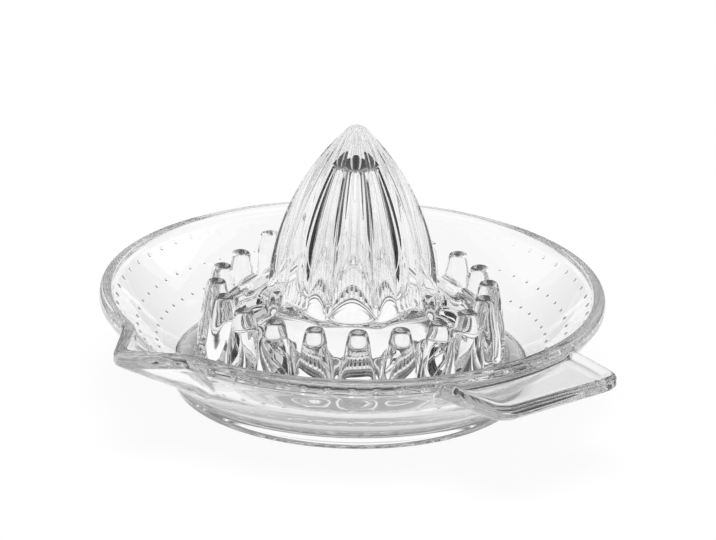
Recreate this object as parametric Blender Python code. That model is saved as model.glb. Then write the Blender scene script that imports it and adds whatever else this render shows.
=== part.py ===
"""Glass citrus juicer: a dish with a ribbed reaming cone, a ring of straining teeth,
a tab handle and a pouring lip, modelled as the separate forms that the glass is pressed into.

The dish stands on the plane z = 0. The handle points along +X and the lip along -Y.
Sizes are in metres and angles in degrees.
"""
import math

import bmesh
import bpy
from mathutils import Matrix, Vector

# Rim and sloping wall
RIM_RADIUS = 0.0650
RIM_HEIGHT = 0.0262
RIM_TOP_WIDTH = 0.0037
RIM_BAND = 0.0040
RIM_ROUND = 0.0010
RIM_SHOULDER_WIDTH = 0.0007
RIM_SHOULDER_DEPTH = 0.0036
WALL_THICKNESS = 0.0040
WALL_FOOT_RADIUS = 0.0493
WALL_FOOT_HEIGHT = 0.0118
WALL_BASE_HEIGHT = 0.0069
WALL_SEAT_HEIGHT = 0.0046

# Juice channel between the wall and the teeth
CHANNEL_HEIGHT = 0.0082
CHANNEL_FLAT_RADIUS = 0.0437
CHANNEL_RADIUS = 0.0460
CHANNEL_THICKNESS = 0.0045

# Foot ring that the dish stands on
FOOT_RADIUS = 0.0456
FOOT_WIDTH = 0.0050
FOOT_CHAMFER = 0.0008
FOOT_FLARE = 0.0007

# Raised plateau that carries the cone and the teeth
PLATEAU_HEIGHT = 0.0234
PLATEAU_FOOT_RADIUS = 0.0340
PLATEAU_SIDE_DRAFT = 0.0015
PLATEAU_EDGE_RADIUS = PLATEAU_FOOT_RADIUS - PLATEAU_SIDE_DRAFT
PLATEAU_EDGE_WIDTH = 0.0048
PLATEAU_FLAT_RADIUS = PLATEAU_EDGE_RADIUS - PLATEAU_EDGE_WIDTH
PLATEAU_EDGE_DROP = 0.0034
PLATEAU_THICKNESS = 0.0046
PLATEAU_WALL = 0.0050
HOLLOW_RADIUS = PLATEAU_FOOT_RADIUS - PLATEAU_WALL

# Straining teeth, the first of them in line with the handle
TOOTH_COUNT = 20
TOOTH_RING_OFFSET = 0.0010
TOOTH_RING_RADIUS = PLATEAU_FOOT_RADIUS + TOOTH_RING_OFFSET
TOOTH_HEIGHT = 0.0274
TOOTH_TOP_RADIUS = 0.0026
TOOTH_WAIST_RADIUS = 0.0046
TOOTH_WAIST_HEIGHT = 0.0152
TOOTH_FOOT_RADIUS = 0.0049
TOOTH_CHAMFER = 0.0006
TOOTH_SIDES = 16

# Reaming cone, whose sides are arcs that would meet in a point above its rounded tip
CONE_RADIUS = 0.0222
CONE_POINT_HEIGHT = 0.0718
CONE_HEIGHT = 0.0703
CONE_TIP_DROP = 0.0006
CONE_WALL = 0.0032
CONE_ROOF_HEIGHT = 0.0597
RIB_COUNT = 10
RIB_OFFSET = 14.0
FLUTE_SHARE = 0.20

# Tab handle
HANDLE_REACH = 0.0825
HANDLE_END_WIDTH = 0.0400
HANDLE_FLARE = 6.0
HANDLE_CORNER = 0.0055
HANDLE_TOP = 0.0244
HANDLE_THICKNESS = 0.0040
HANDLE_EDGE = 0.0006
HANDLE_BORDER = 0.0026
HANDLE_RECESS = 0.0010

# Pouring lip, a channel of V-shaped plan drawn out of the wall
LIP_REACH = 0.0760
LIP_SIDE_ANGLE = 45.0
LIP_TIP_RADIUS = 0.0040
LIP_WALL = 0.0045
LIP_HALF_ANGLE = 15.0
LIP_OUTER_ROOT_HEIGHT = 0.0118
LIP_INNER_ROOT_HEIGHT = 0.0162

# Joint gap between neighbouring forms, and the fineness of the round shapes
GAP = 0.0003
WALL_STEP = 6.0
LIP_STEPS = 16
RING_STEPS = 60
HOLLOW_STEPS = 7
CONE_OUTER_STEPS = 10
CONE_INNER_STEPS = 6
RIB_STEPS = 6
CORNER_STEPS = 6
HANDLE_ROOT_STEPS = 10

# The axis of the dish lies off the middle of the object, because of the handle and the lip
AXIS = Vector((-(HANDLE_REACH - RIM_RADIUS) / 2, (LIP_REACH - RIM_RADIUS) / 2, 0.0))

# Points of the section, as (radius, height), that more than one form uses
CHANNEL_EDGE = (CHANNEL_FLAT_RADIUS, CHANNEL_HEIGHT)
WALL_FOOT = (WALL_FOOT_RADIUS, WALL_FOOT_HEIGHT)

GLASS_COLOUR = (0.93, 0.96, 0.95, 1.0)
GLASS_ROUGHNESS = 0.02
GLASS_IOR = 1.5
SHARP_ANGLE = 35.0


def clear_scene():
    for old in list(bpy.data.objects):
        bpy.data.objects.remove(old, do_unlink=True)


def glass_material(name):
    material = bpy.data.materials.new(name)
    material.use_nodes = True
    shader = material.node_tree.nodes["Principled BSDF"]
    shader.inputs["Base Color"].default_value = GLASS_COLOUR
    shader.inputs["Roughness"].default_value = GLASS_ROUGHNESS
    shader.inputs["Metallic"].default_value = 0.0
    shader.inputs["Transmission Weight"].default_value = 1.0
    shader.inputs["IOR"].default_value = GLASS_IOR
    return material


def finish_mesh(name, bm):
    """Turns a built body into a mesh with outward faces, smooth shading and its own glass."""
    bmesh.ops.recalc_face_normals(bm, faces=bm.faces)
    mesh_data = bpy.data.meshes.new(name)
    bm.to_mesh(mesh_data)
    bm.free()
    mesh_data.shade_smooth()
    mesh_data.set_sharp_from_angle(angle=math.radians(SHARP_ANGLE))
    mesh_data.materials.append(glass_material(name + "_glass"))
    return mesh_data


def add_object(name, mesh_data, offset=(0.0, 0.0, 0.0)):
    """Links a mesh as a named object, placed from the axis of the dish."""
    item = bpy.data.objects.new(name, mesh_data)
    bpy.context.scene.collection.objects.link(item)
    item.location = AXIS + Vector(offset)
    return item


def at_angle(radius, angle, height):
    turn = math.radians(angle)
    return (radius * math.cos(turn), radius * math.sin(turn), height)


def spin_outline(outline):
    """Turns a closed outline of (radius, height) points once about the axis."""
    bm = bmesh.new()
    corners = [bm.verts.new((radius, 0.0, height)) for radius, height in outline]
    edges = [bm.edges.new((corners[i - 1], corners[i])) for i in range(len(corners))]
    bmesh.ops.spin(bm, geom=corners + edges, cent=(0, 0, 0), axis=(0, 0, 1),
                   angle=math.tau, steps=RING_STEPS, use_merge=True)
    return bm


def loft_sections(bm, sections):
    """Joins a row of closed sections with quads and closes both ends."""
    loops = [[bm.verts.new(point) for point in section] for section in sections]
    for before, after in zip(loops[:-1], loops[1:]):
        for i in range(len(before)):
            bm.faces.new((before[i - 1], before[i], after[i], after[i - 1]))
    bm.faces.new(loops[0])
    bm.faces.new(loops[-1])


def circle(radius, height, sides, centre=(0.0, 0.0)):
    steps = [math.tau * i / sides for i in range(sides)]
    return [(centre[0] + radius * math.cos(a), centre[1] + radius * math.sin(a), height)
            for a in steps]


def lip_radius(angle, plain_radius, reach, tip_radius):
    """Plan outline round the lip at angle 0: straight sides that meet in a rounded tip."""
    if abs(angle) > LIP_HALF_ANGLE:
        return plain_radius
    turn = math.radians(abs(angle))
    side = math.radians(LIP_SIDE_ANGLE)
    centre = reach - tip_radius
    tip_turn = math.atan2(tip_radius * math.cos(side), centre + tip_radius * math.sin(side))
    if turn < tip_turn:
        return centre * math.cos(turn) + math.sqrt(
            tip_radius ** 2 - (centre * math.sin(turn)) ** 2)
    offset = centre * math.sin(side) + tip_radius
    return max(plain_radius, offset / math.sin(side + turn))


def radius_at(start, end, height):
    """Radius at a height on the line through two (radius, height) points."""
    share = (height - start[1]) / (end[1] - start[1])
    return start[0] + share * (end[0] - start[0])


def height_at(start, end, radius):
    """Height at a radius on the line through two (radius, height) points."""
    share = (radius - start[0]) / (end[0] - start[0])
    return start[1] + share * (end[1] - start[1])


def wall_section(angle):
    """Section of the wall and rim at an angle from the lip, down inside and up outside."""
    inner_top = RIM_RADIUS - RIM_TOP_WIDTH
    shoulder = (inner_top - RIM_SHOULDER_WIDTH, RIM_HEIGHT - RIM_SHOULDER_DEPTH)
    rise = (Vector(shoulder) - Vector(WALL_FOOT)).normalized()
    outer_start = (WALL_FOOT_RADIUS + rise.y * WALL_THICKNESS,
                   WALL_FOOT_HEIGHT - rise.x * WALL_THICKNESS)
    outer_end = (outer_start[0] + rise.x, outer_start[1] + rise.y)
    band_height = RIM_HEIGHT - RIM_BAND

    outer_lip = lip_radius(angle, RIM_RADIUS, LIP_REACH, LIP_TIP_RADIUS)
    inner_lip = lip_radius(angle, inner_top, LIP_REACH - LIP_WALL, LIP_TIP_RADIUS / 2)
    seat = (CHANNEL_RADIUS, height_at(CHANNEL_EDGE, WALL_FOOT, CHANNEL_RADIUS))
    section = [
        (inner_lip + RIM_ROUND, RIM_HEIGHT),
        (inner_lip, RIM_HEIGHT - RIM_ROUND),
        (inner_lip - RIM_SHOULDER_WIDTH, shoulder[1]),
        (radius_at(shoulder, WALL_FOOT, LIP_INNER_ROOT_HEIGHT), LIP_INNER_ROOT_HEIGHT),
        WALL_FOOT,
        seat,
        (CHANNEL_RADIUS, WALL_SEAT_HEIGHT),
        (radius_at(outer_start, outer_end, WALL_BASE_HEIGHT), WALL_BASE_HEIGHT),
        (radius_at(outer_start, outer_end, LIP_OUTER_ROOT_HEIGHT), LIP_OUTER_ROOT_HEIGHT),
        (outer_lip - RIM_ROUND, band_height - RIM_ROUND),
        (outer_lip, band_height + RIM_ROUND),
        (outer_lip, RIM_HEIGHT - RIM_ROUND),
        (outer_lip - RIM_ROUND, RIM_HEIGHT),
    ]
    return [at_angle(radius, angle - 90.0, height) for radius, height in section]


def make_bowl_wall():
    """The sloping wall with its rim, all round except where the lip is drawn out."""
    start = LIP_HALF_ANGLE + math.degrees(GAP / CHANNEL_RADIUS)
    first = math.ceil(start / WALL_STEP) * WALL_STEP
    middle = [first + WALL_STEP * i for i in range(int((360.0 - 2 * first) / WALL_STEP) + 1)]
    angles = [start] + [a for a in middle if start < a < 360.0 - start] + [360.0 - start]
    bm = bmesh.new()
    loft_sections(bm, [wall_section(angle) for angle in angles])
    return add_object("bowl_wall", finish_mesh("bowl_wall", bm))


def make_pouring_lip():
    """The stretch of wall that is drawn out into the lip."""
    angles = [LIP_HALF_ANGLE * (2 * i / LIP_STEPS - 1) for i in range(LIP_STEPS + 1)]
    bm = bmesh.new()
    loft_sections(bm, [wall_section(angle) for angle in angles])
    return add_object("pouring_lip", finish_mesh("pouring_lip", bm))


def make_channel_floor():
    """The flat ring that the juice runs on, turned up at its outer edge to meet the wall."""
    outer = CHANNEL_RADIUS - GAP
    inner = PLATEAU_FOOT_RADIUS + GAP
    bottom = CHANNEL_HEIGHT - CHANNEL_THICKNESS
    outline = [
        (inner, CHANNEL_HEIGHT),
        (CHANNEL_FLAT_RADIUS, CHANNEL_HEIGHT),
        (outer, height_at(CHANNEL_EDGE, WALL_FOOT, outer)),
        (outer, WALL_SEAT_HEIGHT),
        (outer - FOOT_CHAMFER, bottom),
        (inner, bottom),
    ]
    return add_object("channel_floor", finish_mesh("channel_floor", spin_outline(outline)))


def make_foot_ring():
    """The low ring under the channel that stands on the table."""
    top = CHANNEL_HEIGHT - CHANNEL_THICKNESS - GAP
    inner = FOOT_RADIUS - FOOT_WIDTH
    outline = [
        (inner - FOOT_FLARE, top),
        (inner, FOOT_CHAMFER),
        (inner + FOOT_CHAMFER, 0.0),
        (FOOT_RADIUS - FOOT_CHAMFER, 0.0),
        (FOOT_RADIUS, FOOT_CHAMFER),
        (FOOT_RADIUS + FOOT_FLARE, top),
    ]
    return add_object("foot_ring", finish_mesh("foot_ring", spin_outline(outline)))


def tooth_sections(grow, bottom, top):
    """Circles up a tooth, all wider by one amount, between two heights."""
    centre = (TOOTH_RING_RADIUS, 0.0)
    shoulder = TOOTH_HEIGHT - TOOTH_CHAMFER
    sizes = [
        (TOOTH_FOOT_RADIUS + grow, bottom),
        (TOOTH_WAIST_RADIUS + grow, TOOTH_WAIST_HEIGHT),
        (TOOTH_TOP_RADIUS + grow, shoulder),
        (TOOTH_TOP_RADIUS + grow - TOOTH_CHAMFER, top),
    ]
    return [circle(radius, height, TOOTH_SIDES, centre) for radius, height in sizes]


def tooth_angles():
    return [360.0 * i / TOOTH_COUNT for i in range(TOOTH_COUNT)]


def make_teeth():
    """The tapered straining teeth, which stand on the channel floor round the plateau."""
    bm = bmesh.new()
    loft_sections(bm, tooth_sections(0.0, CHANNEL_HEIGHT + GAP, TOOTH_HEIGHT))
    tooth_mesh = finish_mesh("straining_tooth", bm)
    teeth = []
    for number, angle in enumerate(tooth_angles(), start=1):
        tooth = add_object(f"straining_tooth_{number:02d}", tooth_mesh)
        tooth.rotation_euler.z = math.radians(angle)
        teeth.append(tooth)
    return teeth


def make_tooth_cutter():
    """The room that all the teeth need in the plateau, as one guide of separate bodies."""
    bm = bmesh.new()
    sections = tooth_sections(GAP, CHANNEL_HEIGHT, TOOTH_HEIGHT + GAP)
    for angle in tooth_angles():
        turn = Matrix.Rotation(math.radians(angle), 3, "Z")
        loft_sections(bm, [[turn @ Vector(point) for point in section] for section in sections])
    cutter = add_object("tooth_room", finish_mesh("tooth_room", bm))
    cutter.hide_render = True
    cutter.display_type = "WIRE"
    return cutter


def make_plateau(cutter):
    """The raised plateau with its side wall, hollow below, and notched for the teeth."""
    edge_height = PLATEAU_HEIGHT - PLATEAU_EDGE_DROP
    ceiling = PLATEAU_HEIGHT - PLATEAU_THICKNESS
    bottom = CHANNEL_HEIGHT - CHANNEL_THICKNESS
    hole = cavity_radius(PLATEAU_HEIGHT)
    outline = [
        (hole, PLATEAU_HEIGHT),
        (PLATEAU_FLAT_RADIUS, PLATEAU_HEIGHT),
        (PLATEAU_EDGE_RADIUS, edge_height),
        (PLATEAU_FOOT_RADIUS, CHANNEL_HEIGHT),
        (PLATEAU_FOOT_RADIUS, bottom),
    ]
    # The hollow is a dome that narrows to the cone's hole
    for i in range(HOLLOW_STEPS + 1):
        turn = math.pi / 2 * i / HOLLOW_STEPS
        outline.append((hole + (HOLLOW_RADIUS - hole) * math.cos(turn),
                        bottom + (ceiling - bottom) * math.sin(turn)))
    plateau = add_object("strainer_plateau", finish_mesh("strainer_plateau", spin_outline(outline)))
    notches = plateau.modifiers.new("tooth_notches", "BOOLEAN")
    notches.operation = "DIFFERENCE"
    notches.use_self = True
    notches.object = cutter
    return plateau


def cone_radius(height):
    """Radius of the cone's ribs at a height, on an arc that is upright at the plateau."""
    rise = CONE_POINT_HEIGHT - PLATEAU_HEIGHT
    arc = (CONE_RADIUS ** 2 + rise ** 2) / (2 * CONE_RADIUS)
    return math.sqrt(arc ** 2 - (height - PLATEAU_HEIGHT) ** 2) - (arc - CONE_RADIUS)


def cavity_radius(height):
    """Radius of the round hollow in the cone, a wall thickness inside the deepest flutes."""
    return cone_radius(height) * (1.0 - FLUTE_SHARE) - CONE_WALL


def ribbed_ring(radius, height, depth_share):
    """A ring whose sharp ribs keep the full radius while hollow flutes lie between them."""
    count = RIB_COUNT * RIB_STEPS
    ring = []
    for i in range(count):
        angle = RIB_OFFSET + 360.0 * i / count
        flute = abs(math.sin(math.pi * i / RIB_STEPS))
        ring.append(at_angle(radius * (1.0 - depth_share * flute), angle, height))
    return ring


def make_cone():
    """The reaming cone: sharp ribs outside, and a smooth hollow open to below."""
    base = PLATEAU_HEIGHT + GAP
    sections = []
    for i in range(CONE_INNER_STEPS + 1):
        height = CONE_ROOF_HEIGHT + (base - CONE_ROOF_HEIGHT) * i / CONE_INNER_STEPS
        sections.append(ribbed_ring(cavity_radius(height), height, 0.0))
    shoulder = CONE_HEIGHT - CONE_TIP_DROP
    for i in range(CONE_OUTER_STEPS + 1):
        height = base + (shoulder - base) * i / CONE_OUTER_STEPS
        sections.append(ribbed_ring(cone_radius(height), height, FLUTE_SHARE))
    sections.append(ribbed_ring(cone_radius(shoulder) / 2, CONE_HEIGHT, FLUTE_SHARE))
    bm = bmesh.new()
    loft_sections(bm, sections)
    return add_object("reaming_cone", finish_mesh("reaming_cone", bm))


def handle_outline(inset, root_inset, height):
    """Plan of the handle, drawn in by an inset at its free sides and another at the rim."""
    flare = math.radians(HANDLE_FLARE)
    root_radius = RIM_RADIUS + GAP + root_inset
    corner = HANDLE_CORNER - inset
    reach = HANDLE_REACH - inset
    half_end = HANDLE_END_WIDTH / 2 - inset / math.cos(flare) + inset * math.tan(flare)
    # The corner's centre lies a corner radius in from the end and from the slanting side
    centre_x = reach - corner
    centre_y = half_end + corner * math.tan(flare) - corner / math.cos(flare)
    side_start = Vector((centre_x + corner * math.sin(flare), centre_y + corner * math.cos(flare)))
    direction = Vector((-math.cos(flare), math.sin(flare)))
    along = -side_start.dot(direction)
    root = side_start + direction * (along - math.sqrt(
        along ** 2 - side_start.length_squared + root_radius ** 2))
    root_angle = math.atan2(root.y, root.x)
    points = []
    for i in range(HANDLE_ROOT_STEPS + 1):
        angle = root_angle * (1.0 - 2.0 * i / HANDLE_ROOT_STEPS)
        points.append((root_radius * math.cos(angle), root_radius * math.sin(angle), height))
    corner_points = []
    for i in range(CORNER_STEPS + 1):
        angle = math.radians(90.0 - HANDLE_FLARE) * i / CORNER_STEPS
        corner_points.append((centre_x + corner * math.cos(angle), centre_y + corner * math.sin(angle)))
    points += [(x, -y, height) for x, y in reversed(corner_points)]
    points += [(x, y, height) for x, y in corner_points]
    return points


def make_handle():
    """The flat tab handle, with a border raised round the panel on its top."""
    bottom = HANDLE_TOP - HANDLE_THICKNESS
    sections = [
        handle_outline(HANDLE_EDGE, 0.0, bottom),
        handle_outline(0.0, 0.0, bottom + HANDLE_EDGE),
        handle_outline(0.0, 0.0, HANDLE_TOP - HANDLE_EDGE),
        handle_outline(HANDLE_EDGE, 0.0, HANDLE_TOP),
        handle_outline(HANDLE_BORDER, HANDLE_EDGE, HANDLE_TOP),
        handle_outline(HANDLE_BORDER + HANDLE_EDGE / 2, 2 * HANDLE_EDGE, HANDLE_TOP - HANDLE_RECESS),
    ]
    bm = bmesh.new()
    loft_sections(bm, sections)
    return add_object("handle", finish_mesh("handle", bm))


def build():
    clear_scene()
    make_bowl_wall()
    make_pouring_lip()
    make_channel_floor()
    make_foot_ring()
    make_plateau(make_tooth_cutter())
    make_teeth()
    make_cone()
    make_handle()


build()
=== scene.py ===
"""Looks of the glass citrus juicer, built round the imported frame.

The real juicer is one piece of pressed glass, so one closed glass body stands for all the nodes.
It is made as a control mesh in millimetres from the foot of the dish's axis, with the handle
at angle 0 and the lip at angle 270, and a subdivision surface rounds it.
"""
import math

import bmesh
import bpy
from mathutils import Euler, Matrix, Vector


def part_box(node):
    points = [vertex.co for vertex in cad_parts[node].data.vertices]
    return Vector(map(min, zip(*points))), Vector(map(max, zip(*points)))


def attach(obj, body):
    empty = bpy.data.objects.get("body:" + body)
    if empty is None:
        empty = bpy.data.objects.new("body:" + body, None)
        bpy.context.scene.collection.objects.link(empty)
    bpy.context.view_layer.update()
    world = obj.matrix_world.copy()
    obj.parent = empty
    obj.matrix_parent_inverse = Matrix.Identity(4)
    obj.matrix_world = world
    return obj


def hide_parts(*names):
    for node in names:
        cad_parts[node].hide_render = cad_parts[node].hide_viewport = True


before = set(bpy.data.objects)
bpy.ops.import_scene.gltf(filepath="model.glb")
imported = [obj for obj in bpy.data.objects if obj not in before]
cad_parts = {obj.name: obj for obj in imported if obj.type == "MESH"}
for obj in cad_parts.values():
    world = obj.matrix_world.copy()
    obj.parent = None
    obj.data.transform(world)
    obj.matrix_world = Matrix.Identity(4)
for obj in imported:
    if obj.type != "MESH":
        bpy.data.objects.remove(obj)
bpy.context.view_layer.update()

MM = 0.001


def frame_box(node):
    """Lowest and highest corner of a node in millimetres."""
    low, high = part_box(node)
    return low / MM, high / MM


foot_low, foot_high = frame_box("foot_ring")
wall_low, wall_high = frame_box("bowl_wall")
lip_low, _ = frame_box("pouring_lip")
handle_low, handle_high = frame_box("handle")
plateau_low, plateau_high = frame_box("strainer_plateau")
tooth_low, tooth_high = frame_box("straining_tooth_01")
_, cone_high = frame_box("reaming_cone")

# The teeth's tops are rounded up this far over their solids
TOOTH_CROWN = 0.6

# Sizes that come from the frame, in millimetres
AXIS = (foot_low + foot_high) / 2
RIM_RADIUS = (wall_high.x - wall_low.x) / 2
RIM_HEIGHT = wall_high.z
LIP_REACH = AXIS.y - lip_low.y
HANDLE_REACH = handle_high.x - AXIS.x
HANDLE_TOP = handle_high.z
HANDLE_BOTTOM = handle_low.z
PLATEAU_HEIGHT = plateau_high.z
UNDERSIDE_HEIGHT = plateau_low.z
TOOTH_HEIGHT = tooth_high.z + TOOTH_CROWN
TOOTH_RING_RADIUS = (tooth_low.x + tooth_high.x) / 2 - AXIS.x
CONE_HEIGHT = cone_high.z

# Columns round the axis in each zone of the control mesh. Those of the cone lie at shares of the way
# from rib to rib, closer together near the ribs.
RIB_COUNT = 10
RIB_OFFSET = 14.0
RIB_SHARES = (0.0, 0.035, 0.10, 0.20, 0.33, 0.50, 0.67, 0.80, 0.90, 0.965)
TOOTH_COUNT = 20
TOOTH_COLUMNS = 10
DOT_COUNT = 64
DOT_COLUMNS = 4
WALL_COLUMNS = DOT_COUNT * DOT_COLUMNS
HOLLOW_COLUMNS = 120
SUBDIVISIONS = 1

# Cone: sides are arcs, with deep flutes between sharp ribs, and a round hollow inside
CONE_RADIUS = 22.2
CONE_POINT_HEIGHT = 71.8
CONE_WALL = 3.0
CONE_ROOF_HEIGHT = 59.7
CONE_ROOF_ROUND = 0.5
CONE_ROOF_FLAT = 3.3
CONE_ROWS = 20
HOLLOW_ROWS = 12
FLUTE_SHARE = 0.21
FLUTE_POWER = 0.8
# The blunt tip, as radius and depth below the top, and the depth at which the arc takes over
CONE_TIP = ((0.7, 0.0), (1.4, 0.12), (2.05, 0.5))
CONE_TIP_DEPTH = 1.3
# The cove at the cone's foot rises this far at the ribs and in the flutes
CONE_FOOT_RADIUS = 24.6
RIB_COVE = 1.4
FLUTE_COVE = 7.0
COVE_POWER = 0.4
COVE_TURNS = (0.0, 18.0, 36.0, 54.0, 72.0, 90.0)
COVE_HEADROOM = 0.6
COVE_SURROUND = 1.2

# Plateau, channel and wall, as radius and height
PLATEAU_FLAT_RADIUS = 27.7
PLATEAU_EDGE = (32.5, 20.0)
CHANNEL_HEIGHT = 8.2
PLATEAU_FOOT_RADIUS = 34.0
CHANNEL_START_RADIUS = 42.6
CHANNEL_EDGE = (43.7, CHANNEL_HEIGHT)
WALL_FOOT = (49.3, 11.8)
# Rows of the slope between channel and wall, as shares of it, and the gap to the wall's first row
WALL_FOOT_SHARES = (-0.08, 0.0, 0.10, 0.5, 0.90)
WALL_FOOT_GAP = 0.02
# The wall rises by this slope at its foot, and by this much more with the square of the way out
WALL_SLOPE = 0.723
WALL_CURVE = 0.0239

# Rim, the upright band under it and the outer wall. The band's lower edge has rows above and below.
RIM_TOP_WIDTH = 3.4
RIM_SHOULDER = 61.3
RIM_BAND = 4.0
BAND_FOOT_SHARE = 0.88
BAND_EDGE_ROUND = (0.5, 0.9)
HANDLE_TOP_ROUND = 1.0
OUTER_WALL_END = (50.15, 6.9)
OUTER_WALL_HEIGHTS = (17.3, 14.5, 11.8, 9.6, 7.7)
OUTER_BULGE = 1.2

# Foot ring, whose sides are listed as a step away from it and a height, from the outside in
FOOT_RADIUS = 45.6
FOOT_WIDTH = 5.0
FOOT_OUTSIDE = ((3.4, 6.3), (1.6, 5.2), (1.0, 4.5), (0.6, 3.4), (0.3, 2.1), (0.0, 0.9),
                (-0.25, 0.2), (-0.9, 0.0))
FOOT_INSIDE = ((0.0, 0.0), (0.6, 0.2), (0.9, 0.9))
# Where the foot's inside runs out under the dish, as a step inwards and a depth below its underside
FOOT_RUN_OUT = ((1.4, 0.9), (1.7, 0.2), (2.4, 0.0), (3.4, 0.0))

# Hollow under the plateau: its edge is rounded, and its dome meets the cone's round cavity
HOLLOW_RADIUS = 29.0
HOLLOW_CEILING = 20.6
HOLLOW_STEPS = 12
HOLLOW_EDGE_STEPS = (3.0, 0.8)
HOLLOW_EDGE_RISE = 0.6
# Steps out from the cavity and up from the ceiling where the dome meets it
HOLLOW_NECK = ((0.6, 0.5), (0.1, 1.5))

# Section over the rim, as a share of its width from inside to outside and a depth below its top
RIM_SECTION = ((-0.03, 1.3), (0.04, 0.6), (0.16, 0.15), (0.34, 0.0), (0.55, 0.0), (0.74, 0.08),
               (0.91, 0.5), (1.0, 1.3))

# Teeth: radius at three heights, and the patch of plateau and floor round each. Turns go round a
# tooth from the side away from the axis, and the cap is listed as an inset and a drop.
TOOTH_TOP_RADIUS = 2.6
TOOTH_SHOULDER = 27.4
TOOTH_WAIST = (4.6, 15.2)
TOOTH_FOOT_RADIUS = 4.9
TOOTH_TURN = -1.0
TALL_TOOTH = 10
TALL_TOOTH_RISE = 2.4
PATCH_INNER_RADIUS = 28.2
PATCH_OUTER_RADIUS = 41.0
TOOTH_SIDE_TURNS = (60.0, 80.0, 98.0, 106.0, 112.0, 119.0, 126.0, 131.0, 138.0)
TOOTH_BACK_TURN = 147.0
TOOTH_RING_HEIGHTS = (23.0, 25.4)
TOOTH_CAP = ((0.0, 1.3), (0.08, 0.8), (0.35, 0.3), (0.85, 0.05), (1.5, 0.0))
TOOTH_RISE_ROWS = 5
FILLET = 1.4
FILLET_LIMIT = 0.6
# Halvings that find where a tooth's side meets the plateau
HALVINGS = 30

# Rows of moulded dots on the inside of the wall
DOT_RADII = (50.2, 55.2, 60.4)
DOT_LENGTHS = (1.0, 1.0, 1.35)
DOT_SIZE = 0.5
DOT_RISE = 0.28
DOT_MARGIN = 0.6
DOT_SIDES = 8
# Rings of a dot, as shares of its size and of its rise
DOT_SECTION = ((1.0, 0.0), (0.8, 0.75), (0.4, 1.0))
# The near wall shows hardly a trace of its dots, so they are shallower round its middle (degrees)
NEAR_SIDE = -45.0
NEAR_HALF_ANGLE = 58.0
NEAR_DOT_RISE = 0.06
WALL_ROWS_ABOVE = ((51.9, 53.6), (57.2, 58.8), (RIM_SHOULDER,))

# Lip, as a V in plan with a rounded tip, three quarters of the way round from the handle
LIP_MIDDLE = WALL_COLUMNS * 3 // 4
LIP_COLUMNS = 9
LIP_SIDE_ANGLE = 45.0
LIP_WALL = 4.5
LIP_TIP_RADIUS = 4.0
LIP_SHARES = (0.0, 0.06, 0.12, 0.18, 0.27, 0.39, 0.53, 0.68, 0.84, 1.0)
LIP_INNER_ROOT = 54.0
LIP_OUTER_ROOT = 11.8

# Handle: insets place its outer rows, of which the first few carry the border round the panel
HANDLE_COLUMNS = 28
HANDLE_HALF_END = 20.0
HANDLE_FLARE = 6.0
HANDLE_CORNER = 5.5
HANDLE_INSETS = (0.0, 1.1, 2.3, 3.5, 5.5)
HANDLE_BORDER_ROWS = 3
HANDLE_ROOT_SHARES = (0.0, 0.07, 0.30, 0.55, 0.78, 1.0)
HANDLE_ROOT_BLEND = 0.5
HANDLE_EDGE_SHARES = (0.20, 0.45, 0.62, 0.82)
HANDLE_ROUND = 0.9
HANDLE_RECESS = 1.0


def polar(radius, angle, height):
    """The point at a radius and an angle in degrees round the dish's axis."""
    turn = math.radians(angle)
    return (radius * math.cos(turn), radius * math.sin(turn), height)


def mix(a, b, share):
    """The number a share of the way from a to b."""
    return a + (b - a) * share


def mix_points(a, b, share):
    """The point a share of the way from a to b."""
    return tuple(mix(p, q, share) for p, q in zip(a, b))


def even_angles(count):
    """Angles in degrees of evenly spaced columns, from 0 on."""
    return [360.0 * i / count for i in range(count)]


class Cage:
    """Control mesh: points in millimetres and faces between them."""

    def __init__(self):
        self.points = []
        self.faces = []

    def row(self, points):
        """Adds points and returns their numbers."""
        first = len(self.points)
        self.points.extend(points)
        return list(range(first, len(self.points)))

    def ring(self, angles, radius, height):
        """A row of points round the axis."""
        return self.row([polar(radius, angle, height) for angle in angles])

    def strip(self, before, after, closed=True):
        """Faces between two rows with as many points."""
        for i in range(0 if closed else 1, len(before)):
            self.faces.append((before[i - 1], before[i], after[i], after[i - 1]))

    def strips(self, rows, closed=True):
        """Faces between each row and the next."""
        for before, after in zip(rows[:-1], rows[1:]):
            self.strip(before, after, closed)

    def zipper(self, before, after):
        """Triangles between two rings that start together but have different counts."""
        n, m = len(before), len(after)
        i = j = 0
        while i < n or j < m:
            if j >= m or (i < n and (i + 1) * m <= (j + 1) * n):
                self.faces.append((before[i % n], before[(i + 1) % n], after[j % m]))
                i += 1
            else:
                self.faces.append((before[i % n], after[(j + 1) % m], after[j % m]))
                j += 1


# Cone and plateau


def cone_radius(height):
    """Radius of the cone's ribs at a height, on an arc that is upright at the plateau."""
    rise = CONE_POINT_HEIGHT - PLATEAU_HEIGHT
    arc = (CONE_RADIUS ** 2 + rise ** 2) / (2 * CONE_RADIUS)
    return math.sqrt(arc ** 2 - (height - PLATEAU_HEIGHT) ** 2) - (arc - CONE_RADIUS)


def cavity_radius(height):
    """Radius of the round hollow in the cone, a wall thickness inside the deepest flutes."""
    return cone_radius(height) * (1.0 - FLUTE_SHARE) - CONE_WALL


def rib_columns():
    """Angle and depth of each column of the cone; the depth is 0 at a rib and 1 in a flute."""
    step = 360.0 / RIB_COUNT
    return [(RIB_OFFSET + step * (rib + share), math.sin(math.pi * share) ** FLUTE_POWER)
            for rib in range(RIB_COUNT) for share in RIB_SHARES]


def ribbed_row(cage, radius, height):
    """A ring that keeps the full radius at the ribs and falls back in the flutes."""
    return cage.row([polar(radius * (1.0 - FLUTE_SHARE * depth), angle, height)
                     for angle, depth in rib_columns()])


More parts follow.
